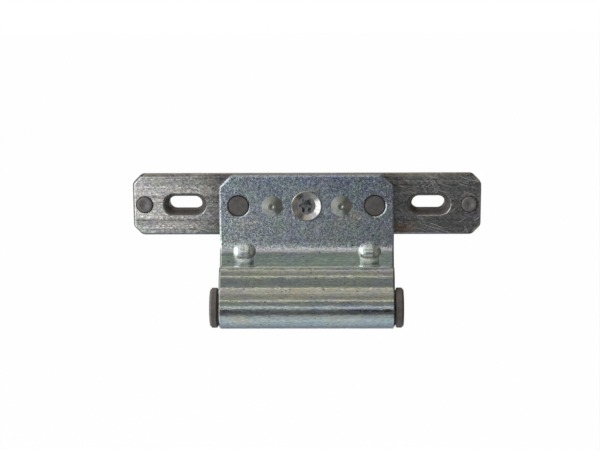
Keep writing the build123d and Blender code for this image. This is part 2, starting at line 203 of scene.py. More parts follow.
class LeafFinish(bpy.types.PropertyGroup):
    """Zinc plating of the pressed leaf."""

    zinc: bpy.props.FloatVectorProperty(
        name="Zinc",
        description="Main colour of the plating",
        subtype="COLOR",
        default=(0.395, 0.412, 0.43),
    )
    eye: bpy.props.FloatVectorProperty(
        name="Eye zinc",
        description="Colour of the plating on the rolled eye and the lap",
        subtype="COLOR",
        default=(0.40, 0.435, 0.41),
    )
    cool: bpy.props.FloatVectorProperty(
        name="Cool film",
        description="Blue and violet patches of the passivation film",
        subtype="COLOR",
        default=(0.30, 0.325, 0.46),
    )
    green: bpy.props.FloatVectorProperty(
        name="Green film",
        description="Greenish patches of the passivation film",
        subtype="COLOR",
        default=(0.335, 0.43, 0.385),
    )
    straw: bpy.props.FloatVectorProperty(
        name="Straw film",
        description="Straw-coloured patches of the passivation film",
        subtype="COLOR",
        default=(0.47, 0.44, 0.36),
    )
    head_film: bpy.props.FloatVectorProperty(
        name="Head film",
        description="Darkening of the film towards the plate's head",
        subtype="COLOR",
        default=(0.70, 0.74, 0.82),
    )
    # Painted shade on the leaf's outer edges.
    painted_edge_shade: bpy.props.FloatVectorProperty(
        name="Painted edge shade",
        description="Darkening of the leaf's outer edges",
        subtype="COLOR",
        default=(0.68, 0.66, 0.62),
    )
    # Painted shade on the eye's two ends.
    painted_eye_end_shade: bpy.props.FloatVectorProperty(
        name="Painted eye end shade",
        description="Darkening of the eye's two ends",
        subtype="COLOR",
        default=(0.42, 0.42, 0.42),
    )
    bump_place: bpy.props.FloatVectorProperty(
        name="Bump place",
        description="Middle of the right-hand bump of the crank",
        subtype="TRANSLATION",
        unit="LENGTH",
        default=(0.0223, 0.0062, 0.0188),
    )
    # Painted highlight on the crank's bumps.
    painted_bump_highlight: bpy.props.FloatVectorProperty(
        name="Painted bump highlight",
        description="Painted highlight on the crank's bumps",
        subtype="COLOR",
        default=(1.45, 1.42, 1.38),
        soft_max=2.0,
    )
    plate_gain: bpy.props.FloatVectorProperty(
        name="Plate gain",
        description="Brightening of the flat plate against the eye",
        subtype="COLOR",
        default=(1.42, 1.40, 1.40),
        soft_max=2.0,
    )
    # Painted highlight just above the crank.
    painted_foot_highlight: bpy.props.FloatVectorProperty(
        name="Painted foot highlight",
        description="Painted highlight just above the crank",
        subtype="COLOR",
        default=(1.40, 1.37, 1.35),
        soft_max=2.0,
    )
    crank_film: bpy.props.FloatVectorProperty(
        name="Crank film",
        description="Warm tint of the film on the crank",
        subtype="COLOR",
        default=(1.05, 0.96, 0.92),
        soft_max=2.0,
    )
    slope_film: bpy.props.FloatVectorProperty(
        name="Slope film",
        description="Green tint of the film on the slope",
        subtype="COLOR",
        default=(1.02, 1.14, 1.14),
        soft_max=2.0,
    )
    # Painted highlight on the lap's rounded edge.
    painted_lap_highlight: bpy.props.FloatVectorProperty(
        name="Painted lap highlight",
        description="Painted highlight on the lap's rounded edge",
        subtype="COLOR",
        default=(2.1, 2.0, 2.0),
        soft_max=2.5,
    )
    # Painted highlight on the eye's crown, in front of the lap.
    painted_crown_highlight: bpy.props.FloatVectorProperty(
        name="Painted crown highlight",
        description="Painted highlight on the eye's crown, in front of the lap",
        subtype="COLOR",
        default=(1.7, 1.66, 1.72),
        soft_max=2.5,
    )
    grain_mm: bpy.props.FloatProperty(
        name="Grain", description="Width of the plating's crystals in millimetres", default=0.36, min=0.1
    )
    plate_roughness: bpy.props.FloatProperty(
        name="Plate roughness", description="Roughness of the flat plate", subtype="FACTOR", default=0.3
    )
    eye_roughness: bpy.props.FloatProperty(
        name="Eye roughness", description="Roughness of the rolled eye", subtype="FACTOR", default=0.13
    )
    plate_foot: bpy.props.FloatProperty(
        name="Plate foot",
        description="Height where the rolled finish gives way to the plate's grain",
        subtype="DISTANCE",
        unit="LENGTH",
        default=0.0195,
    )


class BarFinish(bpy.types.PropertyGroup):
    """Drawn steel of the mounting bar."""

    steel: bpy.props.FloatVectorProperty(
        name="Steel",
        description="Main colour of the drawn steel",
        subtype="COLOR",
        default=(0.545, 0.53, 0.52),
    )
    stain: bpy.props.FloatVectorProperty(
        name="Stain",
        description="Brown stain beside the leaf",
        subtype="COLOR",
        default=(0.44, 0.22, 0.11),
    )
    scratch: bpy.props.FloatVectorProperty(
        name="Scratch",
        description="Bright steel in the scratches",
        subtype="COLOR",
        default=(0.62, 0.6, 0.57),
    )
    # Painted shade on the bar's long front edges.
    painted_edge_shade: bpy.props.FloatVectorProperty(
        name="Painted edge shade",
        description="Darkening of the bar's long edges",
        subtype="COLOR",
        default=(0.56, 0.54, 0.53),
    )
    # Painted shade on the bar beside the leaf.
    painted_shade_beside_leaf: bpy.props.FloatVectorProperty(
        name="Beside the leaf",
        description="Darkening of the bar right beside the leaf",
        subtype="COLOR",
        default=(0.62, 0.60, 0.585),
    )
    # Painted shade on the bar's left end and its corners.
    painted_end_shade: bpy.props.FloatVectorProperty(
        name="Painted end shade",
        description="Darkening of the bar's left end and its corners",
        subtype="COLOR",
        default=(0.24, 0.235, 0.23),
    )
    corner_reach: bpy.props.FloatProperty(
        name="Corner reach",
        description="Sum of the distances along and across the bar to its cut corners",
        subtype="DISTANCE",
        unit="LENGTH",
        default=0.0698,
    )
    roughness: bpy.props.FloatProperty(
        name="Roughness", description="Mean roughness of the bar", subtype="FACTOR", default=0.26
    )


class FastenerFinish(bpy.types.PropertyGroup):
    """Rivets and setting screw."""

    rivet: bpy.props.FloatVectorProperty(
        name="Rivet",
        description="Colour of the upset rivet heads",
        subtype="COLOR",
        default=(0.335, 0.35, 0.33),
    )
    screw: bpy.props.FloatVectorProperty(
        name="Screw",
        description="Colour of the turned screw",
        subtype="COLOR",
        default=(0.483, 0.485, 0.49),
    )
    rivet_roughness: bpy.props.FloatProperty(
        name="Rivet roughness", description="Mean roughness of the rivets", subtype="FACTOR", default=0.32
    )
    screw_roughness: bpy.props.FloatProperty(
        name="Screw roughness", description="Mean roughness of the screw", subtype="FACTOR", default=0.25
    )
    # Where the painted shade in the screw's socket starts.
    socket_mouth: bpy.props.FloatProperty(
        name="Socket mouth",
        description="Distance behind the pivot axis where the painted shade in the screw's socket starts",
        subtype="DISTANCE",
        unit="LENGTH",
        default=0.00885,
    )


class PlasticFinish(bpy.types.PropertyGroup):
    """Moulded packer and bushes."""

    packer: bpy.props.FloatVectorProperty(
        name="Packer", description="Colour of the packer", subtype="COLOR", default=(0.103, 0.096, 0.097)
    )
    bush: bpy.props.FloatVectorProperty(
        name="Bush", description="Colour of the bushes", subtype="COLOR", default=(0.093, 0.083, 0.078)
    )
    slot_mouth: bpy.props.FloatProperty(
        name="Slot mouth",
        description="Distance behind the pivot axis where the slot walls grow dim",
        subtype="DISTANCE",
        unit="LENGTH",
        default=0.0112,
    )
    roughness: bpy.props.FloatProperty(
        name="Roughness", description="Mean roughness of the mouldings", subtype="FACTOR", default=0.55
    )


class StudioSetup(bpy.types.PropertyGroup):
    """Camera, floor and light."""

    azimuth: bpy.props.FloatProperty(
        name="Azimuth", description="Camera direction about Z", subtype="ANGLE", default=radians(-1.12)
    )
    elevation: bpy.props.FloatProperty(
        name="Elevation", description="Camera height angle", subtype="ANGLE", default=radians(11.75)
    )
    roll: bpy.props.FloatProperty(
        name="Roll", description="Camera roll", subtype="ANGLE", default=radians(-0.34)
    )
    distance: bpy.props.FloatProperty(
        name="Distance",
        description="Distance from the camera to its target",
        subtype="DISTANCE",
        unit="LENGTH",
        default=0.5158,
    )
    focal_px: bpy.props.FloatProperty(
        name="Focal length", description="Focal length in pixels of the picture's width", default=1475.5
    )
    target: bpy.props.FloatVectorProperty(
        name="Target",
        description="Point in the middle of the picture",
        subtype="TRANSLATION",
        unit="LENGTH",
        default=(-0.00222, 0.0, 0.02985),
    )
    floor_drop: bpy.props.FloatProperty(
        name="Floor drop",
        description="Height of the part above the floor",
        subtype="DISTANCE",
        unit="LENGTH",
        default=0.35,
    )
    tent_radius: bpy.props.FloatProperty(
        name="Tent radius",
        description="Radius of the light tent round the part",
        subtype="DISTANCE",
        unit="LENGTH",
        default=0.33,
    )
    lamp_place: bpy.props.FloatVectorProperty(
        name="Lamp place",
        description="Middle of the lamp",
        subtype="TRANSLATION",
        unit="LENGTH",
        default=(-0.55, -0.35, 0.75),
    )
    lamp_size: bpy.props.FloatProperty(
        name="Lamp size",
        description="Side of the square lamp",
        subtype="DISTANCE",
        unit="LENGTH",
        default=0.8,
    )
    lamp_power: bpy.props.FloatProperty(
        name="Lamp power", description="Power of the lamp in watts", default=5.0, min=0.0
    )


def node(tree, kind, label, **values):
    """Add one node, label it and set its properties and input sockets."""
    made = tree.nodes.new(kind)
    made.label = label
    for key, value in values.items():
        if key in made.inputs:
            made.inputs[key].default_value = value
        else:
            setattr(made, key, value)
    return made


def feed(tree, socket, value):
    """Give an input socket another node's output, a number, a vector or a colour."""
    if isinstance(value, bpy.types.NodeSocket):
        tree.links.new(value, socket)
    elif isinstance(value, float) or socket.type == "VECTOR":
        socket.default_value = value
    else:
        socket.default_value = (*value, 1.0)


def calc(tree, operation, label, *values, clamp=False):
    """Add a math node on sockets or numbers and return its output."""
    made = node(tree, "ShaderNodeMath", label, operation=operation, use_clamp=clamp)
    for socket, value in zip(made.inputs, values):
        feed(tree, socket, value)
    return made.outputs[0]


def vector_calc(tree, operation, label, *values):
    """Add a vector math node on sockets or vectors and return the node."""
    made = node(tree, "ShaderNodeVectorMath", label, operation=operation)
    for socket, value in zip(made.inputs, values):
        feed(tree, socket, value)
    return made


def blend(tree, label, factor, first, second, kind="MIX"):
    """Add a colour mix on sockets, numbers or colours and return its output."""
    made = node(tree, "ShaderNodeMix", label, data_type="RGBA", blend_type=kind)
    for index, value in zip(MIX_INPUTS, (factor, first, second)):
        feed(tree, made.inputs[index], value)
    return made.outputs[MIX_RESULT]


def tinted(tree, label, factor, colour, tint):
    """Multiply a colour by a tint, as far as the factor says, and return it."""
    return blend(tree, label, factor, colour, tint, "MULTIPLY")


def grey(tree, value):
    """Turn a value into a grey colour and return it."""
    made = node(tree, "ShaderNodeCombineColor", "Grey")
    for socket in made.inputs[:3]:
        feed(tree, socket, value)
    return made.outputs[0]


def ramp(tree, label, factor, stops):
    """Add a ramp from (place, colour or grey) stops and return its colour output."""
    made = node(tree, "ShaderNodeValToRGB", label)
    elements = made.color_ramp.elements
    while len(elements) < len(stops):
        elements.new(0.5)
    for element, (place, colour) in zip(elements, stops):
        element.position = place
        element.color = (*((colour,) * 3 if isinstance(colour, float) else colour), 1.0)
    feed(tree, made.inputs[0], factor)
    return made.outputs[0]


def spread(tree, label, value, low, high, start=0.0, end=1.0):
    """Map a value from one range to another, clamped, and return the output."""
    made = node(tree, "ShaderNodeMapRange", label)
    for socket, given in zip(made.inputs, (value, low, high, start, end)):
        feed(tree, socket, given)
    return made.outputs[0]


def object_place(tree):
    """Object coordinates of the surface."""
    return node(tree, "ShaderNodeTexCoord", "Object place").outputs["Object"]


def object_axes(tree):
    """Object coordinates of the surface as three values, X, Y and Z."""
    axes = node(tree, "ShaderNodeSeparateXYZ", "Axes")
    feed(tree, axes.inputs[0], object_place(tree))
    return axes.outputs


def stretched(tree, label, scale, place=(0.0, 0.0, 0.0)):
    """Object coordinates scaled along each axis and shifted."""
    mapping = node(tree, "ShaderNodeMapping", label, Location=place, Scale=scale)
    feed(tree, mapping.inputs["Vector"], object_place(tree))
    return mapping.outputs[0]


def noise(tree, label, vector, scale, detail, roughness):
    """Add a noise texture on a vector and return its value."""
    made = node(tree, "ShaderNodeTexNoise", label, Detail=detail, Roughness=roughness)
    feed(tree, made.inputs["Vector"], vector)
    feed(tree, made.inputs["Scale"], scale)
    return made.outputs[0]


def drawn_noise(tree, label, cycles, detail, roughness, place=(0.0, 0.0, 0.0)):
    """Noise with its own number of cycles for each metre along each axis."""
    return noise(tree, label, stretched(tree, label, cycles, place), 1.0, detail, roughness)


def random_cells(tree, label, vector, scale):
    """Add a texture of cells, each with a random colour, and return its node."""
    made = node(tree, "ShaderNodeTexVoronoi", label, feature="F1")
    feed(tree, made.inputs["Vector"], vector)
    feed(tree, made.inputs["Scale"], scale)
    return made


def random_values(tree, cells):
    """Three random values for each cell."""
    made = node(tree, "ShaderNodeSeparateColor", "Random values")
    feed(tree, made.inputs[0], cells.outputs["Color"])
    return made.outputs


def new_group(name, inputs, outputs):
    """Start a shader node group with named sockets; return it and its two end nodes."""
    group = bpy.data.node_groups.new(name, "ShaderNodeTree")
    for label, kind in inputs:
        group.interface.new_socket(label, in_out="INPUT", socket_type=kind)
    for label, kind in outputs:
        group.interface.new_socket(label, in_out="OUTPUT", socket_type=kind)
    return group, group.nodes.new("NodeGroupInput"), group.nodes.new("NodeGroupOutput")


GROUPS = {}


def place_group(tree, build, label, **values):
    """Place a shared node group, built on its first use, with its own values."""
    if build not in GROUPS:
        GROUPS[build] = build()
    made = tree.nodes.new("ShaderNodeGroup")
    made.node_tree = GROUPS[build]
    made.label = label
    for key, value in values.items():
        feed(tree, made.inputs[key], value)
    return made


def plating():
    """Crystals and tinted film of zinc plating: a colour, a lot number and a facet tilt."""
    group, start, end = new_group(
        "Plating",
        [
            ("Vector", "NodeSocketVector"),
            ("Crystals", "NodeSocketFloat"),
            ("Patches", "NodeSocketFloat"),
            ("Sparkle", "NodeSocketFloat"),
            ("Mixing", "NodeSocketFloat"),
            ("Zinc", "NodeSocketColor"),
            ("Cool", "NodeSocketColor"),
            ("Green", "NodeSocketColor"),
            ("Straw", "NodeSocketColor"),
        ],
        [("Color", "NodeSocketColor"), ("Lot", "NodeSocketFloat"), ("Tilt", "NodeSocketVector")],
    )
    given = start.outputs
    cells = random_cells(group, "Crystals", given["Vector"], given["Crystals"])
    lots = random_values(group, cells)
    aside = vector_calc(group, "ADD", "Elsewhere", given["Vector"], FILM_SHIFT)
    first = noise(group, "First film", given["Vector"], given["Patches"], detail=4.0, roughness=0.65)
    second = noise(group, "Second film", aside.outputs[0], given["Patches"], detail=4.0, roughness=0.65)
    cool = calc(group, "MULTIPLY_ADD", "Film and lot", lots[0], given["Mixing"], first)
    cool = spread(group, "Cool places", cool, low=0.52, high=0.82)
    green = calc(group, "MULTIPLY_ADD", "Film and lot", lots[1], given["Mixing"], second)
    green = spread(group, "Green places", green, low=0.55, high=0.85)
    straw = spread(group, "Straw places", first, low=0.40, high=0.28)
    colour = blend(group, "Cool film", cool, given["Zinc"], given["Cool"])
    colour = blend(group, "Green film", green, colour, given["Green"])
    colour = blend(group, "Straw film", straw, colour, given["Straw"])
    offset = calc(group, "SUBTRACT", "About the mean", lots[2], MEAN)
    light = calc(group, "MULTIPLY_ADD", "Sparkle", offset, given["Sparkle"], 1.0)
    feed(group, end.inputs["Color"], tinted(group, "Crystal light", 1.0, colour, grey(group, light)))
    feed(group, end.inputs["Lot"], lots[1])
    tilt = vector_calc(group, "SUBTRACT", "Facet tilt", cells.outputs["Color"], (MEAN, MEAN, MEAN))
    feed(group, end.inputs["Tilt"], tilt.outputs[0])
    return group


def scratches():
    """Fine straight scratches in three directions, as a mask."""
    group, start, end = new_group(
        "Scratches",
        [("Vector", "NodeSocketVector"), ("Amount", "NodeSocketFloat")],
        [("Mask", "NodeSocketFloat")],
    )
    total = 0.0
    for turn_deg, shift in SCRATCH_TURNS:
        mapping = node(
            group,
            "ShaderNodeMapping",
            "Scratch direction",
            vector_type="TEXTURE",
            Location=(shift, shift, shift),
            Rotation=(0.0, radians(turn_deg), 0.0),
            Scale=SCRATCH_SIZE,
        )
        feed(group, mapping.inputs["Vector"], start.outputs["Vector"])
        lines = noise(group, "Scratch lines", mapping.outputs[0], scale=1.0, detail=1.0, roughness=0.4)
        peak = spread(group, "Peaks", lines, low=0.64, high=0.74)
        total = calc(group, "MAXIMUM", "Join directions", total, peak)
    mask = calc(group, "MULTIPLY", "Amount", total, start.outputs["Amount"], clamp=True)
    feed(group, end.inputs["Mask"], mask)
    return group


def specks():
    """Sparse small pits or dust, as a mask."""
    group, start, end = new_group(
        "Specks",
        [("Vector", "NodeSocketVector"), ("Scale", "NodeSocketFloat"), ("Share", "NodeSocketFloat")],
        [("Mask", "NodeSocketFloat")],
    )
    cells = random_cells(group, "Speck places", start.outputs["Vector"], start.outputs["Scale"])
    near = spread(group, "Speck size", cells.outputs["Distance"], low=0.3, high=0.15)
    chance = random_values(group, cells)[0]
    chosen = calc(group, "LESS_THAN", "Some cells only", chance, start.outputs["Share"])
    feed(group, end.inputs["Mask"], calc(group, "MULTIPLY", "Speck", near, chosen))
    return group


def new_material(name):
    """Start a node material with a Principled shader; return it, its tree and the shader."""
    material = bpy.data.materials.new(name)
    material.use_nodes = True
    tree = material.node_tree
    return material, tree, tree.nodes["Principled BSDF"]


def relief(tree, label, height, strength, depth, normal=None):
    """Normal of a height over the surface, or over another normal if there is one."""
    bump = node(tree, "ShaderNodeBump", label, Strength=strength, Distance=depth)
    feed(tree, bump.inputs["Height"], height)
    if normal is not None:
        feed(tree, bump.inputs["Normal"], normal)
    return bump.outputs[0]


def tilted_normal(tree, tilt, share):
    """The surface's normal, leaned a little by a tilt vector."""
    surface = node(tree, "ShaderNodeNewGeometry", "Surface")
    lean = vector_calc(tree, "SCALE", "Lean", tilt)
    feed(tree, lean.inputs["Scale"], share)
    total = vector_calc(tree, "ADD", "Leaned", surface.outputs["Normal"], lean.outputs[0])
    return vector_calc(tree, "NORMALIZE", "Unit length", total.outputs[0]).outputs[0]


def uneven_gloss(tree, value, roughness, swing):
    """Roughness that swings about its mean, smoother where a noise is high."""
    return spread(tree, "Gloss", value, low=0.3, high=0.7, start=roughness + swing, end=roughness - swing)


def end_edges(tree, axes, half_width, depth):
    """1 at the outer edges of a piece's two ends, and 0 inside them."""
    outer = calc(tree, "ABSOLUTE", "Either end", axes["X"])
    return spread(tree, "End edges", outer, half_width - depth, half_width - depth + EDGE_FADE)


def left_edges(tree, axes, half_width, depth):
    """1 at the outer edges of a piece's left end, and 0 elsewhere."""
    left = spread(tree, "Left half", axes["X"], *LEFT_HALF)
    return calc(tree, "MULTIPLY", "Left end", end_edges(tree, axes, half_width, depth), left)


def dress(node_names, material):
    """Give CAD nodes one material."""
    for name in node_names:
        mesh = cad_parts[name].data
        mesh.materials.clear()
        mesh.materials.append(material)


def near_bumps(tree, axes, place):
    """1 on the two bumps of the crank, and 0 away from them."""
    either = node(tree, "ShaderNodeCombineXYZ", "Either bump")
    sides = (calc(tree, "ABSOLUTE", "Either side", axes["X"]), axes["Y"], axes["Z"])
    for socket, value in zip(either.inputs, sides):
        feed(tree, socket, value)
    gap = vector_calc(tree, "DISTANCE", "From the bump", either.outputs[0], place)
    return spread(tree, "Near the bump", gap.outputs["Value"], *BUMP_REACH)


def film_and_highlights_on_fold(tree, axes, colour, finish):
    """Film that changes along the fold: warm crank and green slope, with painted highlights at the foot, on
    the lap's edge and on the eye's crown.
    """
    for film, limits in FILMS_AND_HIGHLIGHTS_ON_FOLD.items():
        share = 1.0
        for axis, low, high in limits:
            inside = spread(tree, "Inside", axes[axis], low, high)
            share = calc(tree, "MULTIPLY", "Inside all", share, inside)
        colour = tinted(tree, film, share, colour, getattr(finish, film))
    return colour


def zinc_film(tree, finish):
    """The plating on the plate and on the rolled eye, as two placed groups."""
    shared = {
        "Crystals": 1.0 / (finish.grain_mm * MM),
        "Cool": finish.cool,
        "Green": finish.green,
        "Straw": finish.straw,
    }
    grain = place_group(
        tree,
        plating,
        "Plate grain",
        Vector=object_place(tree),
        Patches=150.0,
        Sparkle=0.95,
        Mixing=0.3,
        Zinc=finish.zinc,
        **shared,
    )
    rolled = place_group(
        tree,
        plating,
        "Rolled film",
        Vector=stretched(tree, "Drawn out along the eye", EYE_STRETCH),
        Patches=190.0,
        Sparkle=0.32,
        Mixing=0.1,
        Zinc=finish.eye,
        **shared,
    )
    return grain, rolled


def zinc_material(finish):
    """Zinc plating: grain on the plate, rolling lines on the eye, films and painted highlights along the
    fold, painted shade on the edges and the eye's ends, a painted highlight on the bumps, and pits.
    """
    material, tree, shader = new_material("zinc_plating")
    axes = object_axes(tree)
    foot = finish.plate_foot
    plate = spread(tree, "Plate", axes["Z"], foot - PLATE_FADE, foot + PLATE_FADE)
    bumps = near_bumps(tree, axes, finish.bump_place)
    grain, rolled = zinc_film(tree, finish)
    lines = drawn_noise(tree, "Rolling lines", ROLLING_LINES, detail=3.0, roughness=0.6)
    streak = spread(tree, "Line light", lines, low=0.3, high=0.7, start=0.87, end=1.13)
    colour = tinted(tree, "Lined", 1.0, rolled.outputs["Color"], grey(tree, streak))
    plain = tinted(tree, "Plate light", 1.0, grain.outputs["Color"], finish.plate_gain)
    colour = blend(tree, "Eye or plate", plate, colour, plain)
    head = spread(tree, "Plate head", axes["Z"], *PLATE_HEAD)
    colour = tinted(tree, "Darker film at the head", head, colour, finish.head_film)
    # Fold films, with painted highlights at the foot, the lap's edge and the eye's crown, kept off the
    # bumps.
    colour = blend(tree, "Fold films and painted highlights off the bumps", bumps, film_and_highlights_on_fold(tree, axes, colour, finish), colour)
    # Painted shade on the leaf's end edges.
    edge = end_edges(tree, axes, LEAF_HALF_WIDTH, LEAF_EDGE)
    colour = tinted(tree, "Leaf end edges in painted shade", edge, colour, finish.painted_edge_shade)
    # Painted shade on the eye's two ends, beside the bushes.
    left = left_edges(tree, axes, LEAF_HALF_WIDTH, EYE_LEFT_EDGE)
    low = calc(tree, "MAXIMUM", "Either end of the eye", edge, left)
    low = calc(tree, "SUBTRACT", "Ends of the eye", low, plate, clamp=True)
    colour = tinted(tree, "Dark ends of the eye", low, colour, finish.painted_eye_end_shade)
    # Painted highlight on the crank's bumps.
    colour = tinted(tree, "Bumps with a painted highlight", bumps, colour, finish.painted_bump_highlight)
    pits = place_group(tree, specks, "Pits", Vector=object_place(tree), Scale=680.0, Share=0.15)
    depth = calc(tree, "MULTIPLY", "Pit depth", pits.outputs["Mask"], PIT_DEPTH)
    feed(tree, shader.inputs["Base Color"], blend(tree, "Pitted", depth, colour, DEEP_DARK))
    rough = calc(tree, "MAXIMUM", "Rough places", plate, bumps)
    mean = spread(tree, "Finish by place", rough, 0.0, 1.0, finish.eye_roughness, finish.plate_roughness)
    lot = calc(tree, "SUBTRACT", "Lot about the mean", grain.outputs["Lot"], MEAN)
    feed(tree, shader.inputs["Roughness"], calc(tree, "MULTIPLY_ADD", "Lot gloss", lot, LOT_GLOSS, mean))
    # Less metal under the bumps lifts their dark undersides: painted light.
    under = spread(tree, "Under the bumps", axes["Z"], *BUMP_UNDERSIDE)
    under = calc(tree, "MULTIPLY", "Bump undersides lifted by painted light", under, bumps)
    metal = spread(tree, "Metal", under, low=0.0, high=1.0, start=1.0, end=0.55)
    feed(tree, shader.inputs["Metallic"], metal)
    lean = spread(tree, "Facet lean", plate, low=0.0, high=1.0, start=0.014, end=0.08)
    normal = tilted_normal(tree, grain.outputs["Tilt"], lean)
    waves = drawn_noise(tree, "Waves", EYE_WAVES, detail=3.0, roughness=0.6)
    normal = relief(tree, "Wavy", waves, strength=0.5, depth=0.21 * MM, normal=normal)
    normal = relief(tree, "Line relief", lines, strength=0.08, depth=0.03 * MM, normal=normal)
    feed(tree, shader.inputs["Normal"], normal)
    return material


def muted(tint, base):
    """A tint drawn part of the way to a base colour."""
    return tuple(BAR_TINT_SHARE * a + (1.0 - BAR_TINT_SHARE) * b for a, b in zip(tint, base))


def stain_mask(tree):
    """1 in the middle of the stain beside the leaf, falling to 0 at its rim."""
    stain = node(tree, "ShaderNodeTexGradient", "Stain", gradient_type="SPHERICAL")
    shift = tuple(-size * middle for size, middle in zip(STAIN_SCALE, STAIN_MIDDLE))
    feed(tree, stain.inputs[0], stretched(tree, "Stain place", STAIN_SCALE, shift))
    return stain.outputs[1]


def bar_with_painted_shade(tree, axes, colour, finish):
    """The bar's colour with painted shade beside the leaf, on its left end, its cut corners and its long
    front edges.
    """
    # Painted shade on the bar's front beside the leaf.
    outer = calc(tree, "ABSOLUTE", "Away from the leaf", axes["X"])
    front = spread(tree, "Front only", axes["Y"], *BAR_FRONT)
    beside = spread(tree, "Beside the leaf", outer, *BESIDE_LEAF)
    beside = calc(tree, "MULTIPLY", "Front beside the leaf", beside, front)
    colour = tinted(tree, "Dirt beside the leaf", beside, colour, finish.painted_shade_beside_leaf)
    # Painted shade on the bar's left end edges and its cut corners.
    edge = left_edges(tree, axes, BAR_HALF_LENGTH, BAR_LEFT_EDGE)
    colour = tinted(tree, "Bar left end in painted shade", edge, colour, finish.painted_end_shade)
    height = calc(tree, "SUBTRACT", "From the middle", axes["Z"], BAR_MIDDLE)
    height = calc(tree, "ABSOLUTE", "Up or down", height)
    reach = calc(tree, "SUBTRACT", "Reach to the left corners", height, axes["X"])
    start = finish.corner_reach - CORNER_EDGE
    edge = spread(tree, "Corner edges", reach, start, start + CORNER_FADE)
    colour = tinted(tree, "Bar corners in painted shade", edge, colour, finish.painted_end_shade)
    # Painted shade on the bar's long front edges.
    edge = spread(tree, "Long edges", height, *LONG_EDGES)
    edge = calc(tree, "MULTIPLY", "Front long edges", edge, front)
    return tinted(tree, "Bar long edges in painted shade", edge, colour, finish.painted_edge_shade)


def bar_material(finish, film_finish):
    """Drawn and plated steel: streaks, tinted film, dark lines, scratches, a brown stain, and painted shade
    on the edges and beside the leaf.
    """
    material, tree, shader = new_material("drawn_steel")
    film = place_group(
        tree,
        plating,
        "Plating",
        Vector=stretched(tree, "Drawn grain", BAR_STRETCH),
        Crystals=2500.0,
        Patches=220.0,
        Sparkle=0.65,
        Mixing=0.3,
        Zinc=finish.steel,
        Cool=muted(film_finish.cool, finish.steel),
        Green=muted(film_finish.green, finish.steel),
        Straw=muted(film_finish.straw, finish.steel),
    )
    fine = drawn_noise(tree, "Fine streaks", FINE_STREAKS, detail=3.0, roughness=0.6)
    broad = drawn_noise(tree, "Broad streaks", BROAD_STREAKS, detail=2.0, roughness=0.5)
    light = calc(tree, "ADD", "Streaks", fine, broad)
    light = spread(tree, "Streak light", light, low=0.72, high=1.23, start=0.66, end=1.30)
    colour = tinted(tree, "Streaked", 1.0, film.outputs["Color"], grey(tree, light))
    dark = drawn_noise(tree, "Drawing lines", DRAWING_LINES, detail=2.0, roughness=0.5, place=LINES_SHIFT)
    dark = spread(tree, "Line depth", dark, low=0.42, high=0.33, start=0.0, end=0.45)
    colour = blend(tree, "Dark lines", dark, colour, DEEP_DARK)
    marks = place_group(tree, scratches, "Handling scratches", Vector=object_place(tree), Amount=0.9)
    colour = blend(tree, "Scratched", marks.outputs["Mask"], colour, finish.scratch)
    patches = spread(tree, "Patches", fine, low=0.35, high=0.6, start=0.3, end=1.0)
    patchy = calc(tree, "MULTIPLY", "Patchy stain", stain_mask(tree), patches)
    colour = blend(tree, "Stained", patchy, colour, finish.stain)
    feed(tree, shader.inputs["Base Color"], bar_with_painted_shade(tree, object_axes(tree), colour, finish))
    gloss = uneven_gloss(tree, fine, finish.roughness, swing=0.07)
    worn = calc(tree, "MULTIPLY", "Scratch roughness", marks.outputs["Mask"], SCRATCH_ROUGHNESS)
    feed(tree, shader.inputs["Roughness"], calc(tree, "MAXIMUM", "Scratched gloss", gloss, worn))
    shader.inputs["Metallic"].default_value = 1.0
    normal = tilted_normal(tree, film.outputs["Tilt"], BAR_LEAN)
    normal = relief(tree, "Streak relief", fine, strength=0.15, depth=0.03 * MM, normal=normal)
    feed(tree, shader.inputs["Normal"], normal)
    return material


def fastener_material(name, colour, roughness, socket_shade_depth=None):
    """Plated fastener: soft mottling and small dents, with painted shade behind a depth if one is given."""
    material, tree, shader = new_material(name)
    place = object_place(tree)
    mottle = noise(tree, "Mottling", place, scale=1300.0, detail=4.0, roughness=0.6)
    base = tinted(tree, "Mottled", 1.0, colour, ramp(tree, "Mottled light", mottle, MOTTLED_LIGHT))
    if socket_shade_depth is not None:
        # Painted shade deep in the screw's socket, with light flecks.
        deep = spread(tree, "Socket depth", object_axes(tree)["Y"], socket_shade_depth, socket_shade_depth + SOCKET_FADE)
        flecks = noise(tree, "Flecks", place, scale=900.0, detail=2.0, roughness=0.6)
        base = blend(tree, "Socket in painted shade", deep, base, ramp(tree, "Painted shade", flecks, SOCKET_SHADE))
    feed(tree, shader.inputs["Base Color"], base)
    feed(tree, shader.inputs["Roughness"], uneven_gloss(tree, mottle, roughness, swing=0.08))
    shader.inputs["Metallic"].default_value = 1.0
    feed(tree, shader.inputs["Normal"], relief(tree, "Dents", mottle, strength=0.15, depth=0.03 * MM))
    return material


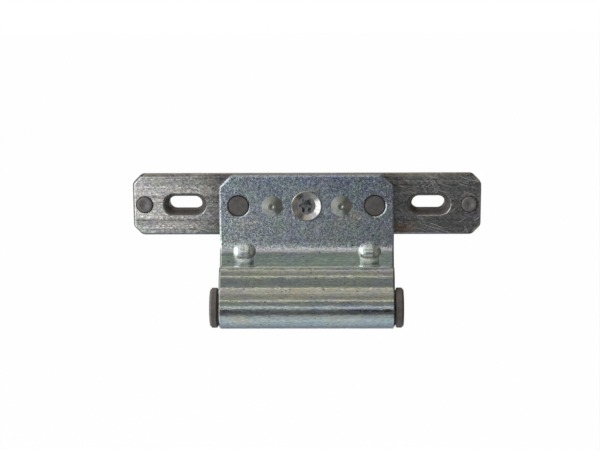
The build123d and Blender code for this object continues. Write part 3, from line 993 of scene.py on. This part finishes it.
def plastic_material(name, colour, roughness, shade=None):
    """Moulded plastic: fine texture, flow marks, scuffs and dust, dimmer behind a depth if one is given."""
    material, tree, shader = new_material(name)
    place = object_place(tree)
    fine = noise(tree, "Mould texture", place, scale=2600.0, detail=3.0, roughness=0.6)
    flow = noise(tree, "Flow marks", place, scale=190.0, detail=3.0, roughness=0.6)
    scuffs = noise(tree, "Scuffs", place, scale=750.0, detail=3.0, roughness=0.65)
    base = tinted(tree, "Flow", 1.0, colour, ramp(tree, "Flow light", flow, FLOW_LIGHT))
    base = tinted(tree, "Scuffed", 1.0, base, ramp(tree, "Scuff light", scuffs, SCUFF_LIGHT))
    dust = place_group(tree, specks, "Dust", Vector=place, Scale=900.0, Share=0.05)
    strength = calc(tree, "MULTIPLY", "Dust strength", dust.outputs["Mask"], DUST_STRENGTH)
    base = blend(tree, "Dusty", strength, base, DUST_COLOUR)
    if shade is not None:
        axes = object_axes(tree)
        deep = spread(tree, "Slot depth", axes["Y"], shade, shade + SLOT_FADE)
        base = tinted(tree, "Dim slot", deep, base, SLOT_SHADE)
        outer = calc(tree, "ABSOLUTE", "Either end", axes["X"])
        # The pegs near the bar's ends are made lighter.
        base = tinted(tree, "Lighter pegs", spread(tree, "Pegs", outer, *PEGS), base, PEG_LIGHT)
    feed(tree, shader.inputs["Base Color"], base)
    feed(tree, shader.inputs["Roughness"], uneven_gloss(tree, flow, roughness, swing=0.1))
    feed(tree, shader.inputs["Normal"], relief(tree, "Mould relief", fine, strength=0.2, depth=0.04 * MM))
    return material


def seen_by_eye(tree):
    """1 for camera, glossy and transmission rays, which see the plain white backdrop."""
    path = node(tree, "ShaderNodeLightPath", "Ray kind")
    seen = calc(tree, "MAXIMUM", "Seen", path.outputs["Is Camera Ray"], path.outputs["Is Glossy Ray"])
    return calc(tree, "MAXIMUM", "Seen or through", seen, path.outputs["Is Transmission Ray"])


def floor_material():
    """Pale floor that reads white and keeps a faint shadow."""
    material, tree, shader = new_material("pale_floor")
    feed(tree, shader.inputs["Base Color"], FLOOR_COLOUR)
    shader.inputs["Roughness"].default_value = FLOOR_ROUGHNESS
    glow = node(tree, "ShaderNodeEmission", "White", Strength=1.0)
    feed(tree, glow.inputs["Color"], WHITE)
    mix = node(tree, "ShaderNodeMixShader", "White floor")
    feed(tree, mix.inputs[0], calc(tree, "MULTIPLY", "Mostly white", seen_by_eye(tree), FLOOR_WHITE_SHARE))
    feed(tree, mix.inputs[1], shader.outputs[0])
    feed(tree, mix.inputs[2], glow.outputs[0])
    feed(tree, tree.nodes["Material Output"].inputs[0], mix.outputs[0])
    return material


def turn_ramp(tree, label, turn, stops):
    """Ramp over the full turn, with stops by degrees up from the front."""
    return ramp(tree, label, turn, [(0.5 + degrees / 360.0, colour) for degrees, colour in stops])


def side_ramp(tree, label, side, stops):
    """Ramp over the tent's width, with stops by the place to the right in tent radii."""
    return ramp(tree, label, side, [(0.5 + reach / SIDE_SPAN, colour) for reach, colour in stops])


def tent_material(radius):
    """Light tent: bands of cloth and dark gaps by the angle round the part, with a bright left side."""
    material, tree, shader = new_material("light_tent")
    axes = object_axes(tree)
    front = calc(tree, "MULTIPLY", "Towards the front", axes["Y"], -1.0)
    angle = calc(tree, "ARCTAN2", "Angle up from the front", axes["Z"], front)
    turn = calc(tree, "MULTIPLY_ADD", "Share of a turn", angle, 0.5 / pi, 0.5)
    side = calc(tree, "MULTIPLY_ADD", "Share of the width", axes["X"], 1.0 / (SIDE_SPAN * radius), 0.5)
    bands = turn_ramp(tree, "Bands", turn, TENT_BANDS)
    low = side_ramp(tree, "Low front", side, LOW_FRONT)
    reach = turn_ramp(tree, "Low front reach", turn, LOW_FRONT_REACH)
    colour = blend(tree, "Low front light", reach, bands, low)
    far = side_ramp(tree, "Far sides", side, FAR_SIDES)
    share = side_ramp(tree, "Far share", side, FAR_SHARE)
    colour = blend(tree, "Far side light", share, colour, far)
    glow = node(tree, "ShaderNodeEmission", "Lit cloth", Strength=1.0)
    feed(tree, glow.inputs["Color"], colour)
    feed(tree, tree.nodes["Material Output"].inputs[0], glow.outputs[0])
    tree.nodes.remove(shader)
    return material


def stage_object(name, shape, material):
    """Turn a bmesh into a stage object with a material."""
    mesh = bpy.data.meshes.new(name)
    shape.to_mesh(mesh)
    shape.free()
    mesh.materials.append(material)
    made = bpy.data.objects.new(name, mesh)
    bpy.context.scene.collection.objects.link(made)
    return made


def build_floor(setup):
    """Wide plane under the part."""
    shape = bmesh.new()
    bmesh.ops.create_grid(shape, x_segments=1, y_segments=1, size=FLOOR_SIZE)
    height = CAD_BOX[0][2] - setup.floor_drop
    bmesh.ops.translate(shape, verts=shape.verts, vec=(0.0, 0.0, height))
    stage_object("floor", shape, floor_material())


def build_tent(setup):
    """Sheet bent round the part's long axis, from under the front, over the top, to behind; ends closed."""
    radius = setup.tent_radius
    half_width = 0.5 * SIDE_SPAN * radius
    shape = bmesh.new()
    reach = Vector((0.0, -radius * cos(TENT_START), radius * sin(TENT_START)))
    ends = [shape.verts.new(reach + Vector((x, 0.0, 0.0))) for x in (-half_width, half_width)]
    edge = shape.edges.new(ends)
    bmesh.ops.spin(
        shape,
        geom=[*ends, edge],
        cent=(0, 0, 0),
        axis=(-1, 0, 0),
        angle=TENT_END - TENT_START,
        steps=TENT_STEPS,
        use_merge=False,
    )
    for side in (-half_width, half_width):
        rim = [e for e in shape.edges if all(abs(v.co.x - side) < RIM_TOLERANCE for v in e.verts)]
        bmesh.ops.contextual_create(shape, geom=rim)
    tent = stage_object("light_tent", shape, tent_material(radius))
    tent.visible_camera = False
    tent.visible_shadow = False


def add_lamp(setup):
    """Soft square lamp that faces the part."""
    lamp = bpy.data.lights.new("key_light", "AREA")
    lamp.shape = "SQUARE"
    lamp.size = setup.lamp_size
    lamp.energy = setup.lamp_power
    made = bpy.data.objects.new("key_light", lamp)
    made.location = setup.lamp_place
    made.rotation_euler = (LAMP_TARGET - Vector(setup.lamp_place)).to_track_quat("-Z", "Y").to_euler()
    bpy.context.scene.collection.objects.link(made)


def add_camera(setup):
    """Camera at the photo's angle."""
    sin_az, cos_az = sin(setup.azimuth), cos(setup.azimuth)
    sin_el, cos_el = sin(setup.elevation), cos(setup.elevation)
    forward = Vector((sin_az * cos_el, cos_az * cos_el, -sin_el))
    level_right = Vector((cos_az, -sin_az, 0.0))
    level_up = level_right.cross(forward)
    right = level_right * cos(setup.roll) + level_up * sin(setup.roll)
    up = level_up * cos(setup.roll) - level_right * sin(setup.roll)
    camera = bpy.data.cameras.new("camera")
    camera.sensor_width = SENSOR_WIDTH_MM
    camera.lens = setup.focal_px * SENSOR_WIDTH_MM / IMAGE_WIDTH_PX
    camera.clip_start = CLIP_START
    made = bpy.data.objects.new("camera", camera)
    place = Vector(setup.target) - forward * setup.distance
    turned = Matrix((right, up, -forward)).transposed().to_4x4()
    made.matrix_world = Matrix.Translation(place) @ turned
    bpy.context.scene.collection.objects.link(made)
    bpy.context.scene.camera = made


def light_world():
    """White for what is seen, plain grey for what lights the part."""
    world = bpy.data.worlds.new("studio")
    world.use_nodes = True
    bpy.context.scene.world = world
    tree = world.node_tree
    background = tree.nodes["Background"]
    background.inputs["Strength"].default_value = 1.0
    colour = blend(tree, "White when seen", seen_by_eye(tree), WORLD_GREY, WHITE)
    feed(tree, background.inputs["Color"], colour)


class HINGE_OT_leaf(bpy.types.Operator):
    """Plate the leaf with zinc"""

    bl_idname = "hinge.leaf"
    bl_label = "Leaf"

    def execute(self, context):
        dress(["hinge_leaf"], zinc_material(context.scene.hinge_leaf_finish))
        return {"FINISHED"}


class HINGE_OT_bar(bpy.types.Operator):
    """Give the mounting bar its drawn steel"""

    bl_idname = "hinge.bar"
    bl_label = "Mounting bar"

    def execute(self, context):
        scene = context.scene
        dress(["mounting_bar"], bar_material(scene.hinge_bar_finish, scene.hinge_leaf_finish))
        return {"FINISHED"}


class HINGE_OT_fasteners(bpy.types.Operator):
    """Finish the rivets and the setting screw"""

    bl_idname = "hinge.fasteners"
    bl_label = "Rivets and screw"

    def execute(self, context):
        finish = context.scene.hinge_fastener_finish
        rivet = fastener_material("rivet_plating", finish.rivet, finish.rivet_roughness)
        screw = fastener_material("screw_plating", finish.screw, finish.screw_roughness, finish.socket_mouth)
        dress(["rivet_left", "rivet_right"], rivet)
        dress(["setting_screw"], screw)
        return {"FINISHED"}


class HINGE_OT_mouldings(bpy.types.Operator):
    """Finish the packer and the bushes"""

    bl_idname = "hinge.mouldings"
    bl_label = "Packer and bushes"

    def execute(self, context):
        finish = context.scene.hinge_plastic_finish
        packer = plastic_material("packer_plastic", finish.packer, finish.roughness, finish.slot_mouth)
        bush = plastic_material("bush_plastic", finish.bush, finish.roughness)
        dress(["packer"], packer)
        dress(["bush_left", "bush_right"], bush)
        return {"FINISHED"}


class HINGE_OT_stage(bpy.types.Operator):
    """Set up the floor, the light and the camera"""

    bl_idname = "hinge.stage"
    bl_label = "Stage"

    def execute(self, context):
        setup = context.scene.hinge_studio
        context.scene.view_settings.view_transform = "Standard"
        build_floor(setup)
        build_tent(setup)
        light_world()
        add_lamp(setup)
        add_camera(setup)
        return {"FINISHED"}


class HINGE_PT_panel(bpy.types.Panel):
    """Lists the hinge's finishes and the stage"""

    bl_idname = "HINGE_PT_panel"
    bl_label = "Transom hinge"
    bl_space_type = "VIEW_3D"
    bl_region_type = "UI"
    bl_category = "Hinge"

    def draw(self, context):
        for operator in OPERATORS:
            self.layout.operator(operator.bl_idname)


OPERATORS = [HINGE_OT_leaf, HINGE_OT_bar, HINGE_OT_fasteners, HINGE_OT_mouldings, HINGE_OT_stage]
SETTINGS = {
    "hinge_leaf_finish": LeafFinish,
    "hinge_bar_finish": BarFinish,
    "hinge_fastener_finish": FastenerFinish,
    "hinge_plastic_finish": PlasticFinish,
    "hinge_studio": StudioSetup,
}


def register():
    """Register the settings, the operators and the panel."""
    for name, settings in SETTINGS.items():
        bpy.utils.register_class(settings)
        setattr(bpy.types.Scene, name, bpy.props.PointerProperty(type=settings))
    for operator in OPERATORS:
        bpy.utils.register_class(operator)
    bpy.utils.register_class(HINGE_PT_panel)


def unregister():
    """Take the panel, the operators and the settings away again."""
    bpy.utils.unregister_class(HINGE_PT_panel)
    for operator in reversed(OPERATORS):
        bpy.utils.unregister_class(operator)
    for name, settings in SETTINGS.items():
        delattr(bpy.types.Scene, name)
        bpy.utils.unregister_class(settings)


def main():
    """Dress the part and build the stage."""
    register()
    bpy.ops.hinge.leaf()
    bpy.ops.hinge.bar()
    bpy.ops.hinge.fasteners()
    bpy.ops.hinge.mouldings()
    bpy.ops.hinge.stage()


if __name__ == "__main__":
    main()
